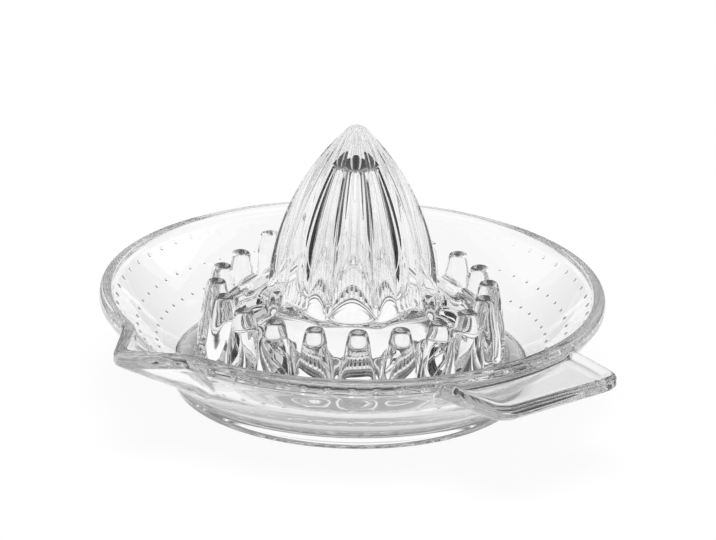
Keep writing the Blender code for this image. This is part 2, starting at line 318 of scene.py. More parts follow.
def cove_row(cage, turn):
    """A ring on the cove at the cone's foot, from turn 0 on the cone to 90 on the plateau."""
    out = 1.0 - math.cos(math.radians(turn))
    down = 1.0 - math.sin(math.radians(turn))
    points = []
    for angle, depth in rib_columns():
        rise = mix(RIB_COVE, FLUTE_COVE, depth ** COVE_POWER)
        side = cone_radius(PLATEAU_HEIGHT + rise) * (1.0 - FLUTE_SHARE * depth)
        points.append(polar(mix(side, CONE_FOOT_RADIUS, out), angle, PLATEAU_HEIGHT + rise * down))
    return cage.row(points)


def add_cone(cage):
    """The outside of the cone from its tip down to the plateau, whose last ring is returned."""
    rows = [ribbed_row(cage, radius, CONE_HEIGHT - depth) for radius, depth in CONE_TIP]
    top = CONE_HEIGHT - CONE_TIP_DEPTH
    bottom = PLATEAU_HEIGHT + FLUTE_COVE + COVE_HEADROOM
    for i in range(CONE_ROWS + 1):
        height = mix(top, bottom, i / CONE_ROWS)
        rows.append(ribbed_row(cage, cone_radius(height), height))
    rows += [cove_row(cage, turn) for turn in COVE_TURNS]
    rows.append(cage.ring([angle for angle, _ in rib_columns()], CONE_FOOT_RADIUS + COVE_SURROUND,
                          PLATEAU_HEIGHT))
    cage.faces.append(tuple(rows[0]))
    cage.strips(rows)
    return rows[-1]


def base_height(radius):
    """Height of the plateau, its side and the channel floor between the teeth."""
    edge_radius, edge_height = PLATEAU_EDGE
    if radius <= PLATEAU_FLAT_RADIUS:
        return PLATEAU_HEIGHT
    if radius <= edge_radius:
        share = (radius - PLATEAU_FLAT_RADIUS) / (edge_radius - PLATEAU_FLAT_RADIUS)
        return mix(PLATEAU_HEIGHT, edge_height, share)
    if radius <= PLATEAU_FOOT_RADIUS:
        share = (radius - edge_radius) / (PLATEAU_FOOT_RADIUS - edge_radius)
        return mix(edge_height, CHANNEL_HEIGHT, share)
    return CHANNEL_HEIGHT


def tooth_radius(height):
    """Radius of a tooth, which tapers from its foot over its waist to its shoulder."""
    waist_radius, waist_height = TOOTH_WAIST
    if height < waist_height:
        share = (height - CHANNEL_HEIGHT) / (waist_height - CHANNEL_HEIGHT)
        return mix(TOOTH_FOOT_RADIUS, waist_radius, share)
    share = (height - waist_height) / (TOOTH_SHOULDER - waist_height)
    return mix(waist_radius, TOOTH_TOP_RADIUS, share)


def tooth_point(turn, height, radius=None):
    """Polar radius, angle and height of a point on a tooth; turn 0 faces away from the axis."""
    if radius is None:
        radius = tooth_radius(height)
    across = radius * math.sin(math.radians(turn))
    along = TOOTH_RING_RADIUS + radius * math.cos(math.radians(turn))
    return (math.hypot(across, along), math.degrees(math.atan2(across, along)), height)


def junction_height(turn):
    """Height at which a tooth's side comes out of the plateau or the floor."""
    low, high = CHANNEL_HEIGHT, PLATEAU_HEIGHT
    for _ in range(HALVINGS):
        middle = (low + high) / 2
        if base_height(tooth_point(turn, middle)[0]) > middle:
            low = middle
        else:
            high = middle
    return low


def add_teeth(cage):
    """The teeth with the plateau and floor round them; returns the inner and outer rings."""
    columns = [angle + TOOTH_TURN for angle in even_angles(TOOTH_COUNT * TOOTH_COLUMNS)]
    inner = cage.ring(columns, PATCH_INNER_RADIUS, base_height(PATCH_INNER_RADIUS))
    outer = cage.ring(columns, PATCH_OUTER_RADIUS, CHANNEL_HEIGHT)
    half = TOOTH_COLUMNS // 2
    sector = 360.0 / TOOTH_COUNT

    side_radii = [tooth_point(turn, junction_height(turn))[0] for turn in TOOTH_SIDE_TURNS]
    sides = []
    for tooth in range(TOOTH_COUNT):
        angle = sector * (tooth + 0.5) + TOOTH_TURN
        sides.append(cage.row([polar(r, angle, base_height(r)) for r in side_radii]))

    # Turns of the loop round a tooth: floor, one side, plateau, other side
    loop_count = 2 * TOOTH_COLUMNS + 2 * len(TOOTH_SIDE_TURNS) + 2
    step = 360.0 / loop_count
    top_turns = [step * (i - half) for i in range(loop_count)]
    back_step = 2 * (180.0 - TOOTH_BACK_TURN) / TOOTH_COLUMNS
    foot_turns = [step * (i - half) for i in range(TOOTH_COLUMNS + 1)]
    foot_turns += list(TOOTH_SIDE_TURNS)
    foot_turns += [TOOTH_BACK_TURN + back_step * i for i in range(TOOTH_COLUMNS + 1)]
    foot_turns += [360.0 - turn for turn in reversed(TOOTH_SIDE_TURNS)]
    feet = [(turn, junction_height(turn)) for turn in foot_turns]

    for tooth in range(TOOTH_COUNT):
        first = tooth * TOOTH_COLUMNS
        angle = sector * tooth + TOOTH_TURN
        stretch = TALL_TOOTH_RISE if tooth == TALL_TOOTH else 0.0
        count = len(columns)
        loop = [outer[(first + i) % count] for i in range(-half, half + 1)]
        loop += sides[tooth]
        loop += [inner[(first - i) % count] for i in range(-half, half + 1)]
        loop += list(reversed(sides[tooth - 1]))
        add_tooth(cage, loop, angle, feet, top_turns, stretch)
    return inner, outer


def tooth_base(cage, loop, angle, feet):
    """The fillet's points round a tooth's foot, and the turns and heights where its side starts."""
    fillet = []
    starts = []
    for i, (turn, height) in enumerate(feet):
        radius, side_angle, _ = tooth_point(turn, height)
        x, y, _ = cage.points[loop[i]]
        loop_radius = math.hypot(x, y)
        loop_angle = (math.degrees(math.atan2(y, x)) - angle + 180.0) % 360.0 - 180.0
        distance = math.hypot(loop_radius - radius,
                              radius * math.radians(loop_angle - side_angle))
        share = min(FILLET_LIMIT, FILLET / distance)
        fillet_radius = mix(radius, loop_radius, share)
        fillet_angle = mix(side_angle, loop_angle, share)
        fillet.append(polar(fillet_radius, angle + fillet_angle, base_height(fillet_radius)))

        # The tooth's side starts a fillet's width off the junction, at right angles to it
        before = feet[i - 1]
        after = feet[(i + 1) % len(feet)]
        along = math.radians((after[0] - before[0]) % 360.0) * tooth_radius(height)
        rise = after[1] - before[1]
        length = math.hypot(along, rise)
        start_turn = turn - math.degrees(FILLET * rise / length / tooth_radius(height))
        start_height = height + FILLET * along / length
        starts.append((start_turn, start_height))
    return fillet, starts


def add_tooth(cage, loop, angle, feet, top_turns, stretch):
    """One tooth, from the loop on the plateau and floor round it up to its flat top.

    The stretch lifts the tooth's upper part.
    """
    fillet, starts = tooth_base(cage, loop, angle, feet)
    rows = [loop, cage.row(fillet)]
    full_height = TOOTH_RING_HEIGHTS[0]
    for k in range(TOOTH_RISE_ROWS + 1):
        share = k / TOOTH_RISE_ROWS
        points = []
        for (turn, height), top_turn in zip(starts, top_turns):
            r, a, h = tooth_point(mix(turn, top_turn, share), mix(height, full_height, share))
            points.append(polar(r, angle + a, h))
        rows.append(cage.row(points))
    caps = [(tooth_radius(h), h) for h in TOOTH_RING_HEIGHTS[1:]]
    caps += [(TOOTH_TOP_RADIUS - inset, TOOTH_HEIGHT - drop) for inset, drop in TOOTH_CAP]
    for radius, height in caps:
        points = []
        for top_turn in top_turns:
            r, a, h = tooth_point(top_turn, height, radius)
            points.append(polar(r, angle + a, h + stretch))
        rows.append(cage.row(points))
    cage.strips(rows)
    cage.faces.append(tuple(rows[-1]))


# Wall, rim and lip


def lip_outline(share, rim_radius, reach, tip_radius):
    """Half of the lip's plan outline by its length, as (across, along) the lip."""
    side = math.radians(LIP_SIDE_ANGLE)
    end_turn = math.radians(360.0 * LIP_COLUMNS / WALL_COLUMNS)
    centre = reach - tip_radius
    tangent = Vector((tip_radius * math.sin(side), centre + tip_radius * math.cos(side)))
    total = tangent.x + tangent.y
    meet_x = (total - math.sqrt(2 * rim_radius ** 2 - total ** 2)) / 2
    meet = Vector((meet_x, total - meet_x))
    meet_turn = math.atan2(meet.x, meet.y)
    lengths = (tip_radius * side, (meet - tangent).length, max(0.0, end_turn - meet_turn) * rim_radius)
    distance = share * sum(lengths)
    if distance < lengths[0]:
        turn = distance / tip_radius
        return (tip_radius * math.sin(turn), centre + tip_radius * math.cos(turn))
    distance -= lengths[0]
    if distance < lengths[1]:
        point = tangent.lerp(meet, distance / lengths[1])
        return (point.x, point.y)
    turn = meet_turn + (distance - lengths[1]) / rim_radius
    return (rim_radius * math.sin(turn), rim_radius * math.cos(turn))


def lip_offset(column):
    """Columns from the middle of the lip, or None away from it."""
    offset = column - LIP_MIDDLE
    return offset if abs(offset) < LIP_COLUMNS else None


def edge_point(column, share, height):
    """A point on the rim: share 0 is its inner edge and 1 its outer edge."""
    inner_radius = RIM_RADIUS - RIM_TOP_WIDTH
    offset = lip_offset(column)
    if offset is None:
        return polar(mix(inner_radius, RIM_RADIUS, share), 360.0 * column / WALL_COLUMNS, height)
    part = LIP_SHARES[abs(offset)]
    inner = lip_outline(part, inner_radius, LIP_REACH - LIP_WALL, LIP_TIP_RADIUS / 2)
    outer = lip_outline(part, RIM_RADIUS, LIP_REACH, LIP_TIP_RADIUS)
    across = mix(inner[0], outer[0], share)
    along = mix(inner[1], outer[1], share)
    return (math.copysign(across, offset), -along, height)


def inner_wall_height(radius):
    """Height of the inside of the wall, which grows steeper towards the rim."""
    out = radius - WALL_FOOT[0]
    return WALL_FOOT[1] + WALL_SLOPE * out + WALL_CURVE * out ** 2


def inner_wall_point(column, radius):
    """A point on the inside of the wall, named by its radius where there is no lip."""
    angle = 360.0 * column / WALL_COLUMNS
    height = inner_wall_height(radius)
    if lip_offset(column) is None or radius <= LIP_INNER_ROOT:
        return polar(radius, angle, height)
    share = (radius - LIP_INNER_ROOT) / (RIM_SHOULDER - LIP_INNER_ROOT)
    edge_share = (RIM_SHOULDER - RIM_RADIUS) / RIM_TOP_WIDTH + 1.0
    root = polar(LIP_INNER_ROOT, angle, height)
    return mix_points(root, edge_point(column, edge_share, height), share)


def outer_wall_point(column, height):
    """A point on the outside of the wall, under the upright band."""
    band_height = RIM_HEIGHT - RIM_BAND
    slope = (band_height - OUTER_WALL_END[1]) / (RIM_RADIUS - OUTER_WALL_END[0])
    angle = 360.0 * column / WALL_COLUMNS
    whole = (height - OUTER_WALL_END[1]) / (band_height - OUTER_WALL_END[1])
    bulge = 4.0 * OUTER_BULGE * whole * (1.0 - whole)
    if height <= LIP_OUTER_ROOT:
        radius = OUTER_WALL_END[0] + (height - OUTER_WALL_END[1]) / slope
        return polar(radius + bulge, angle, height)
    share = (height - LIP_OUTER_ROOT) / (band_height - LIP_OUTER_ROOT)
    root = polar(OUTER_WALL_END[0] + (LIP_OUTER_ROOT - OUTER_WALL_END[1]) / slope, angle,
                 LIP_OUTER_ROOT)
    x, y, z = mix_points(root, edge_point(column, BAND_FOOT_SHARE, band_height), share)
    turn = math.radians(angle)
    return (x + bulge * math.cos(turn), y + bulge * math.sin(turn), z)


def dot_rise(column):
    """Height of a dot over the wall, which is less on the near side."""
    turn = (360.0 * column / WALL_COLUMNS - NEAR_SIDE + 180.0) % 360.0 - 180.0
    return NEAR_DOT_RISE if abs(turn) < NEAR_HALF_ANGLE else DOT_RISE


def add_dot(cage, corners, centre, normal, length, height):
    """One moulded dot, longer up the slope, inside a block of eight points that run round it."""
    across = Vector(cage.points[corners[0]]) - centre
    across = (across - normal * across.dot(normal)).normalized()
    up = normal.cross(across)
    if (Vector(cage.points[corners[1]]) - centre).dot(up) < 0:
        up = -up
    rows = [corners]
    for size_share, rise_share in DOT_SECTION:
        points = []
        for i in range(DOT_SIDES):
            turn = math.tau * i / DOT_SIDES
            side = math.cos(turn) * across + length * math.sin(turn) * up
            points.append(tuple(centre + DOT_SIZE * size_share * side + height * rise_share * normal))
        rows.append(cage.row(points))
    cage.strips(rows)
    cage.faces.append(tuple(rows[-1]))


def has_dot(row, column):
    """Whether a dot sits on a column of a dot row; the lip leaves no room for the upper rows."""
    if column % DOT_COLUMNS:
        return False
    offset = abs(column - LIP_MIDDLE)
    return row == 0 or offset > LIP_COLUMNS + 1


def add_dot_row(cage, row_below, number):
    """A narrow band of the wall with one row of dots; returns the band's upper row."""
    columns = range(WALL_COLUMNS)
    low, middle, high = [cage.row([inner_wall_point(c, DOT_RADII[number] + offset) for c in columns])
                         for offset in (-DOT_MARGIN, 0.0, DOT_MARGIN)]
    cage.strip(row_below, low)
    for c in columns:
        if not (has_dot(number, c) or has_dot(number, (c - 1) % WALL_COLUMNS)):
            cage.faces.append((low[c - 1], low[c], middle[c], middle[c - 1]))
            cage.faces.append((middle[c - 1], middle[c], high[c], high[c - 1]))
    for c in columns:
        if has_dot(number, c):
            after = (c + 1) % WALL_COLUMNS
            loop = [middle[after], high[after], high[c], high[c - 1],
                    middle[c - 1], low[c - 1], low[c], low[after]]
            centre = Vector(cage.points[middle[c]])
            along = Vector(cage.points[middle[after]]) - Vector(cage.points[middle[c - 1]])
            up = Vector(cage.points[high[c]]) - Vector(cage.points[low[c]])
            add_dot(cage, loop, centre, up.cross(along).normalized(), DOT_LENGTHS[number],
                    dot_rise(c))
    return high


def add_inner_wall(cage, floor_ring):
    """The channel's outer part and the inside of the wall; returns the row at the rim."""
    columns = range(WALL_COLUMNS)
    angles = even_angles(WALL_COLUMNS)
    rows = [cage.ring(angles, CHANNEL_START_RADIUS, CHANNEL_HEIGHT)]
    cage.zipper(floor_ring, rows[0])
    for share in WALL_FOOT_SHARES:
        radius = mix(CHANNEL_EDGE[0], WALL_FOOT[0], share)
        height = mix(CHANNEL_EDGE[1], WALL_FOOT[1], max(0.0, share))
        rows.append(cage.ring(angles, radius, height))
    rows.append(cage.row([inner_wall_point(c, WALL_FOOT[0] + WALL_FOOT_GAP) for c in columns]))
    cage.strips(rows)

    last = rows[-1]
    for number in range(len(DOT_RADII)):
        last = add_dot_row(cage, last, number)
        for radius in WALL_ROWS_ABOVE[number]:
            row = cage.row([inner_wall_point(c, radius) for c in columns])
            cage.strip(last, row)
            last = row
    return last


def add_rim_and_outside(cage, wall_row):
    """Rim, upright band, outer wall and handle; returns the last row of the outer wall."""
    columns = range(WALL_COLUMNS)
    rows = [wall_row]
    for share, drop in RIM_SECTION:
        rows.append(cage.row([edge_point(c, share, RIM_HEIGHT - drop) for c in columns]))
    cage.strips(rows)

    # The band's rows from the handle's top to its underside, which the handle interrupts
    band_height = RIM_HEIGHT - RIM_BAND
    half = HANDLE_COLUMNS // 2
    first_row = cage.row([edge_point(c, 1.0, handle_root_height(c)) for c in columns])
    cage.strip(rows[-1], first_row)
    band = [first_row]
    for height in (HANDLE_TOP - HANDLE_TOP_ROUND, band_height + BAND_EDGE_ROUND[0]):
        band.append(cage.row([edge_point(c, 1.0, height) for c in columns]))
    for height in (band_height, band_height - BAND_EDGE_ROUND[1], HANDLE_BOTTOM):
        band.append(cage.row([outer_wall_point(c, height) for c in columns]))
    for before, after in zip(band[:-1], band[1:]):
        for c in columns:
            in_handle = c - 1 >= WALL_COLUMNS - half or c <= half
            if not in_handle or c - 1 == WALL_COLUMNS - half - 1:
                cage.faces.append((before[c - 1], before[c], after[c], after[c - 1]))
    add_handle(cage, band)

    rows = [band[-1]]
    for height in OUTER_WALL_HEIGHTS:
        rows.append(cage.row([outer_wall_point(c, height) for c in columns]))
    cage.strips(rows)
    return rows[-1]


# Handle


def signed_column(column):
    """Columns from the handle's middle, below 0 on the lip's side."""
    return (column + WALL_COLUMNS // 2) % WALL_COLUMNS - WALL_COLUMNS // 2


def handle_root_height(column):
    """Height of the handle's top where it meets the rim, lower at the panel."""
    half = HANDLE_COLUMNS // 2
    inset = half - abs(signed_column(column))
    return HANDLE_TOP - (HANDLE_RECESS if inset >= HANDLE_BORDER_ROWS else 0.0)


def handle_plan(i, j):
    """Plan of the handle's grid: i runs across it and j from the rim to its end.

    Rows and columns near the edge follow the outline at its insets, round the corners too.
    """
    flare = math.radians(HANDLE_FLARE)
    rows = len(HANDLE_ROOT_SHARES) + len(HANDLE_INSETS) - 2
    depth = len(HANDLE_INSETS) - 1
    side = min(i, HANDLE_COLUMNS - i)
    sign = -1.0 if i < HANDLE_COLUMNS / 2 else 1.0
    end = rows - j
    centre_x = HANDLE_REACH - HANDLE_CORNER
    centre_y = HANDLE_HALF_END + HANDLE_CORNER * (math.tan(flare) - 1 / math.cos(flare))
    # Round a corner, half of whose turn falls to the handle's side and half to its end
    if side <= depth and end <= depth:
        k = min(side, end)
        radius = HANDLE_CORNER - HANDLE_INSETS[k]
        full = 90.0 - HANDLE_FLARE
        if k == depth:
            return (centre_x, sign * centre_y)
        if side <= end:
            turn = full - full / 2 * (depth - end) / (depth - k)
        else:
            turn = full / 2 * (depth - side) / (depth - k)
        turn = math.radians(turn)
        return (centre_x + radius * math.cos(turn), sign * (centre_y + radius * math.sin(turn)))
    # Along the end
    if end < depth:
        share = (i - depth) / (HANDLE_COLUMNS - 2 * depth)
        return (HANDLE_REACH - HANDLE_INSETS[end], mix(-centre_y, centre_y, share))
    # Along the sides and over the panel, columns lead from the rim to the corner's centre
    root_angle = math.radians(360.0 / WALL_COLUMNS * (i - HANDLE_COLUMNS / 2))
    root_x = RIM_RADIUS * math.cos(root_angle)
    root_y = RIM_RADIUS * math.sin(root_angle)
    share = HANDLE_ROOT_SHARES[j]
    x = mix(root_x, centre_x, share)
    if side <= depth:
        line = centre_y + (centre_x - x) * math.tan(flare)
        y = sign * (line + (HANDLE_CORNER - HANDLE_INSETS[side]) / math.cos(flare))
        if share == 1.0:
            y = sign * (centre_y + (HANDLE_CORNER - HANDLE_INSETS[side]) * math.cos(flare))
            x = centre_x + (HANDLE_CORNER - HANDLE_INSETS[side]) * math.sin(flare)
    else:
        across = (i - depth) / (HANDLE_COLUMNS - 2 * depth)
        half_width = centre_y + (centre_x - x) * math.tan(flare)
        y = mix(-half_width, half_width, across)
    return (x, mix(root_y, y, min(1.0, share / HANDLE_ROOT_BLEND)))


def add_handle(cage, band):
    """The flat handle, with a border round the panel on its top, grown from the band's rows."""
    half = HANDLE_COLUMNS // 2
    rows = len(HANDLE_ROOT_SHARES) + len(HANDLE_INSETS) - 2
    band_columns = [signed % WALL_COLUMNS for signed in range(-half, half + 1)]

    def grid_row(j, top):
        if j == 0:
            source = band[0] if top else band[-1]
            return [source[c] for c in band_columns]
        points = []
        for i in range(HANDLE_COLUMNS + 1):
            x, y = handle_plan(i, j)
            inset = min(i, HANDLE_COLUMNS - i, rows - j)
            drop = HANDLE_ROUND if inset == 0 else 0.0
            if inset >= HANDLE_BORDER_ROWS and top:
                drop = HANDLE_RECESS
            points.append((x, y, HANDLE_TOP - drop if top else HANDLE_BOTTOM + drop))
        return cage.row(points)

    top_rows = [grid_row(j, True) for j in range(rows + 1)]
    bottom_rows = [grid_row(j, False) for j in range(rows + 1)]
    cage.strips(top_rows, closed=False)
    cage.strips(bottom_rows, closed=False)

    # The rim of the handle: down each side and across the end
    def outline(rows_of_grid):
        left = [row[0] for row in rows_of_grid[1:]]
        right = [row[-1] for row in rows_of_grid[1:]]
        return left + rows_of_grid[-1][1:-1] + list(reversed(right))

    top_outline = outline(top_rows)
    bottom_outline = outline(bottom_rows)
    first, last = band_columns[0], band_columns[-1]
    sides = [[band[0][first]] + top_outline + [band[0][last]]]
    for row, share in zip(band[1:-1], HANDLE_EDGE_SHARES):
        points = []
        for upper, lower in zip(top_outline, bottom_outline):
            points.append(mix_points(cage.points[upper], cage.points[lower], share))
        sides.append([row[first]] + cage.row(points) + [row[last]])
    sides.append([band[-1][first]] + bottom_outline + [band[-1][last]])
    cage.strips(sides, closed=False)


# Underside


def foot_outline():
    """Radius and height of the rows over the foot ring, from the outer wall to the underside."""
    outer = FOOT_RADIUS
    inner = FOOT_RADIUS - FOOT_WIDTH
    outline = [OUTER_WALL_END]
    outline += [(outer + step, height) for step, height in FOOT_OUTSIDE]
    outline.append(((outer + inner) / 2, 0.0))
    outline += [(inner - step, height) for step, height in FOOT_INSIDE]
    outline += [(inner - step, UNDERSIDE_HEIGHT - depth) for step, depth in FOOT_RUN_OUT]
    return outline


def hollow_outline():
    """Radius and height of the hollow's rows: its edge, the dome, the cone's cavity and its roof."""
    hole = cavity_radius(PLATEAU_HEIGHT)
    start = UNDERSIDE_HEIGHT + HOLLOW_EDGE_RISE
    outline = [(HOLLOW_RADIUS + step, UNDERSIDE_HEIGHT) for step in HOLLOW_EDGE_STEPS]
    outline.append((HOLLOW_RADIUS, start))
    for i in range(1, HOLLOW_STEPS + 1):
        turn = math.pi / 2 * i / (HOLLOW_STEPS + 1)
        outline.append((hole + (HOLLOW_RADIUS - hole) * math.cos(turn),
                        start + (HOLLOW_CEILING - start) * math.sin(turn)))
    outline += [(hole + step, HOLLOW_CEILING + rise) for step, rise in HOLLOW_NECK]
    outline.append((hole, PLATEAU_HEIGHT))
    roof = CONE_ROOF_HEIGHT - CONE_ROOF_ROUND
    for i in range(1, HOLLOW_ROWS + 1):
        height = mix(PLATEAU_HEIGHT, roof, i / HOLLOW_ROWS)
        outline.append((cavity_radius(height), height))
    outline.append((cavity_radius(roof) - CONE_ROOF_ROUND, CONE_ROOF_HEIGHT))
    outline.append((CONE_ROOF_FLAT, CONE_ROOF_HEIGHT))
    return outline


def add_underside(cage, wall_row):
    """From the foot of the outer wall over the foot ring to the roof of the hollow in the cone."""
    angles = even_angles(WALL_COLUMNS)
    foot_rows = [wall_row] + [cage.ring(angles, radius, height) for radius, height in foot_outline()]
    cage.strips(foot_rows)
    angles = even_angles(HOLLOW_COLUMNS)
    hollow_rows = [cage.ring(angles, radius, height) for radius, height in hollow_outline()]
    cage.zipper(foot_rows[-1], hollow_rows[0])
    cage.strips(hollow_rows)
    cage.faces.append(tuple(hollow_rows[-1]))


# Whole body


def build_glass():
    """The whole glass body as one closed object."""
    cage = Cage()
    plateau_ring = add_cone(cage)
    inner, outer = add_teeth(cage)
    shift = round(RIB_OFFSET / 360.0 * len(inner))
    cage.zipper(plateau_ring, inner[shift:] + inner[:shift])
    wall_row = add_inner_wall(cage, outer)
    outside_row = add_rim_and_outside(cage, wall_row)
    add_underside(cage, outside_row)

    mesh = bpy.data.meshes.new("juicer_glass")
    mesh.from_pydata([(Vector(p) + Vector((AXIS.x, AXIS.y, 0.0))) * MM for p in cage.points],
                     [], cage.faces)
    bm = bmesh.new()
    bm.from_mesh(mesh)
    loose = [v for v in bm.verts if not v.link_faces]
    bmesh.ops.delete(bm, geom=loose, context="VERTS")
    bmesh.ops.recalc_face_normals(bm, faces=bm.faces)
    bm.to_mesh(mesh)
    bm.free()
    mesh.shade_smooth()
    glass = bpy.data.objects.new("juicer_glass", mesh)
    bpy.context.scene.collection.objects.link(glass)
    rounding = glass.modifiers.new("rounding", "SUBSURF")
    rounding.levels = SUBDIVISIONS
    rounding.render_levels = SUBDIVISIONS
    return glass


# Material: the waves' scale is a count over a metre, and their depth is in metres
GLASS_IOR = 1.5
WAVE_SCALE = 60.0
WAVE_STRENGTH = 0.02
WAVE_DEPTH = 0.002


def glass_material():
    """Clear pressed glass with the faint waves that a mould leaves in it."""
    material = bpy.data.materials.new("clear_pressed_glass")
    material.use_nodes = True
    nodes = material.node_tree.nodes
    links = material.node_tree.links
    shader = nodes["Principled BSDF"]
    shader.inputs["Base Color"].default_value = (1.0, 1.0, 1.0, 1.0)
    shader.inputs["Roughness"].default_value = 0.0
    shader.inputs["Transmission Weight"].default_value = 1.0
    shader.inputs["IOR"].default_value = GLASS_IOR
    place = nodes.new("ShaderNodeTexCoord")
    waves = nodes.new("ShaderNodeTexNoise")
    waves.inputs["Scale"].default_value = WAVE_SCALE
    waves.inputs["Detail"].default_value = 1.0
    bump = nodes.new("ShaderNodeBump")
    bump.inputs["Strength"].default_value = WAVE_STRENGTH
    bump.inputs["Distance"].default_value = WAVE_DEPTH
    links.new(place.outputs["Object"], waves.inputs["Vector"])
    links.new(waves.outputs["Fac"], bump.inputs["Height"])
    links.new(bump.outputs["Normal"], shader.inputs["Normal"])
    return material


# Camera, with the photograph's angle, distance and framing: degrees, metres and pixels
IMAGE_WIDTH = 716
IMAGE_HEIGHT = 540
CAMERA_AZIMUTH = -39.8
CAMERA_ELEVATION = 21.31
CAMERA_DISTANCE = 1.513
CAMERA_ROLL = 1.49
FOCAL_PIXELS = 5892.0
AIM_PIXEL = (352.7, 287.15)
SENSOR_WIDTH = 36.0


# Stage: a white sheet under and behind the object, in a dark studio with soft panels round it.
# Sizes are in metres, and angles in degrees from the camera's side of the object to its right.
SHEET_HALF_WIDTH = 0.12
SHEET_FRONT = 0.12
SHEET_BACK = 0.60
SHEET_GREY = 0.85
SHEET_SEEN_SHARE = 0.94
# Distance from the axis in millimetres, and how white the sheet looks there through the glass:
# a painted shadow of the dish, a dark ring round its middle that ends between two distances behind the
# axis
SHADE_REACH = 80.0
SHADE_RING = ((0.0, 1.0), (26.0, 1.0), (29.5, 0.0), (37.5, 0.0), (42.0, 0.4), (48.0, 1.0),
              (SHADE_REACH, 1.0))
SHADE_END = (16.0, 26.0)
# Height above the horizon, as the sine of its angle, and the studio's brightness there
STUDIO_LEVELS = ((0.0, 0.02), (0.3, 0.04), (0.7, 0.15), (1.0, 0.15))
PANEL_DISTANCE = 1.0
# Name, angle, width, height of the lower and the upper edge, brightness
PANELS = (("right_panel", 78.0, 2.2, 0.25, 0.95, 1.0),
          ("left_panel", -80.0, 2.0, 0.27, 0.95, 0.65),
          ("front_panel", 0.0, 0.8, 0.10, 0.85, 0.8))
LAMP_HEIGHT = 1.2
LAMP_SIZE = 1.0
LAMP_ENERGY = 18.0


def studio_place(angle, distance, height):
    """A place round the object's axis, with the angle counted from the camera's side."""
    turn = math.radians(CAMERA_AZIMUTH + angle)
    return (AXIS.x * MM + distance * math.cos(turn), AXIS.y * MM + distance * math.sin(turn), height)


def stage_quad(name, corners, material):
    """A flat stage piece with four corners."""
    mesh = bpy.data.meshes.new(name)
    mesh.from_pydata(corners, [], [(0, 1, 2, 3)])
    mesh.materials.append(material)
    piece = bpy.data.objects.new(name, mesh)
    bpy.context.scene.collection.objects.link(piece)
    return piece


def grey_ramp(nodes, levels):
    """A ramp of greys, each given as a position from 0 to 1 and a brightness."""
    ramp = nodes.new("ShaderNodeValToRGB")
    stops = ramp.color_ramp.elements
    while len(stops) < len(levels):
        stops.new(0.5)
    for stop, (position, value) in zip(stops, levels):
        stop.position = position
        stop.color = (value, value, value, 1.0)
    return ramp


def sheet_painted_shadow(nodes, links):
    """How white the sheet looks through the glass: a painted shadow ring, but not behind the cone."""
    middle = Vector(studio_place(0.0, 0.0, 0.0))
    place = nodes.new("ShaderNodeTexCoord")
    offset = nodes.new("ShaderNodeVectorMath")
    offset.operation = "SUBTRACT"
    offset.inputs[1].default_value = middle
    distance = nodes.new("ShaderNodeVectorMath")
    distance.operation = "LENGTH"
    spread = nodes.new("ShaderNodeMapRange")
    spread.inputs["From Max"].default_value = SHADE_REACH * MM
    shade = grey_ramp(nodes, [(radius / SHADE_REACH, value) for radius, value in SHADE_RING])
    behind = nodes.new("ShaderNodeVectorMath")
    behind.operation = "DOT_PRODUCT"
    behind.inputs[1].default_value = Vector(studio_place(180.0, 1.0, 0.0)) - middle
    lit = nodes.new("ShaderNodeMapRange")
    lit.inputs["From Min"].default_value = SHADE_END[0] * MM
    lit.inputs["From Max"].default_value = SHADE_END[1] * MM
    whiteness = nodes.new("ShaderNodeMath")
    whiteness.operation = "MAXIMUM"
    links.new(place.outputs["Object"], offset.inputs[0])
    links.new(offset.outputs["Vector"], distance.inputs[0])
    links.new(distance.outputs["Value"], spread.inputs["Value"])
    links.new(spread.outputs["Result"], shade.inputs["Fac"])
    links.new(offset.outputs["Vector"], behind.inputs[0])
    links.new(behind.outputs["Value"], lit.inputs["Value"])
    links.new(shade.outputs["Color"], whiteness.inputs[0])
    links.new(lit.outputs["Result"], whiteness.inputs[1])
    return whiteness.outputs[0]


def sheet_material():
    """Pale paper that shows white to the eye and through the glass, and keeps a shadow; to the glass
    it also shows a painted shadow ring.
    """
    material = bpy.data.materials.new("white_sheet")
    material.use_nodes = True
    nodes = material.node_tree.nodes
    links = material.node_tree.links
    nodes.clear()
    path = nodes.new("ShaderNodeLightPath")
    seen = nodes.new("ShaderNodeMath")
    seen.operation = "MULTIPLY"
    seen.inputs[1].default_value = SHEET_SEEN_SHARE
    glass_ray = nodes.new("ShaderNodeMath")
    glass_ray.operation = "MAXIMUM"
    through = nodes.new("ShaderNodeMath")
    through.operation = "MULTIPLY"
    share = nodes.new("ShaderNodeMath")
    share.operation = "MAXIMUM"
    matt = nodes.new("ShaderNodeBsdfDiffuse")
    matt.inputs["Color"].default_value = (SHEET_GREY, SHEET_GREY, SHEET_GREY, 1.0)
    white = nodes.new("ShaderNodeEmission")
    white.inputs["Strength"].default_value = 1.0
    blend = nodes.new("ShaderNodeMixShader")
    output = nodes.new("ShaderNodeOutputMaterial")
    links.new(path.outputs["Is Camera Ray"], seen.inputs[0])
    links.new(path.outputs["Is Glossy Ray"], glass_ray.inputs[0])
    links.new(path.outputs["Is Transmission Ray"], glass_ray.inputs[1])
    links.new(glass_ray.outputs[0], through.inputs[0])
    # The glass's rays see the sheet's white cut by the painted shadow ring
    links.new(sheet_painted_shadow(nodes, links), through.inputs[1])
    links.new(seen.outputs[0], share.inputs[0])
    links.new(through.outputs[0], share.inputs[1])
    links.new(share.outputs[0], blend.inputs["Fac"])
    links.new(matt.outputs[0], blend.inputs[1])
    links.new(white.outputs[0], blend.inputs[2])
    links.new(blend.outputs[0], output.inputs["Surface"])
    return material


